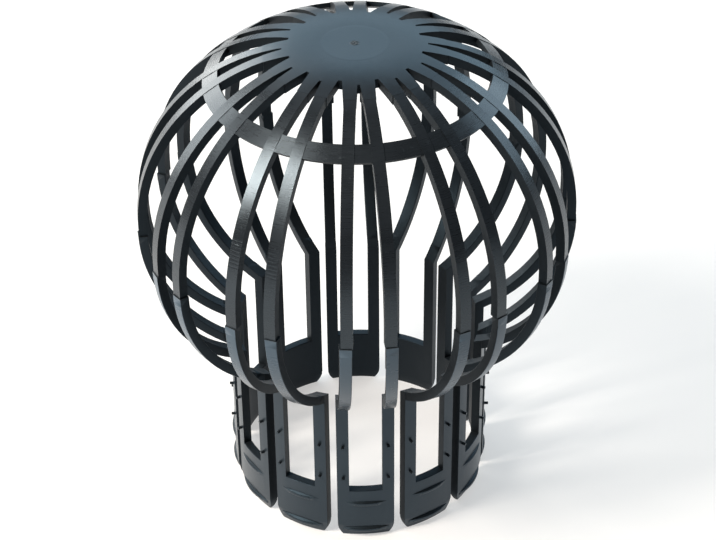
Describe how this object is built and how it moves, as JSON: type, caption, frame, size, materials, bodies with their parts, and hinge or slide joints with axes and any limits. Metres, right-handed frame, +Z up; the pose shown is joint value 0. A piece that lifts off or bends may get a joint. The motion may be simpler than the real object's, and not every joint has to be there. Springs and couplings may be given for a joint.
{
  "type": "downpipe leaf filter",
  "caption": "Bulb-shaped plastic cage whose paired ribs run from a notched cap down to a sprung, slotted spigot that pushes into a downpipe outlet to keep leaves out.",
  "frame": {"origin": "on the bulb's axis, at the level of the legs' feet", "axes": "+Z up along the axis from the spigot to the cap; one leg is centred on -Y, the side the picture shows"},
  "size_m": [0.1262, 0.1262, 0.1479],
  "materials": {
    "moulding": "satin moulded, blue-black"
  },
  "bodies": {
    "root": {"leaf_filter": "moulding"}
  },
  "joints": []
}
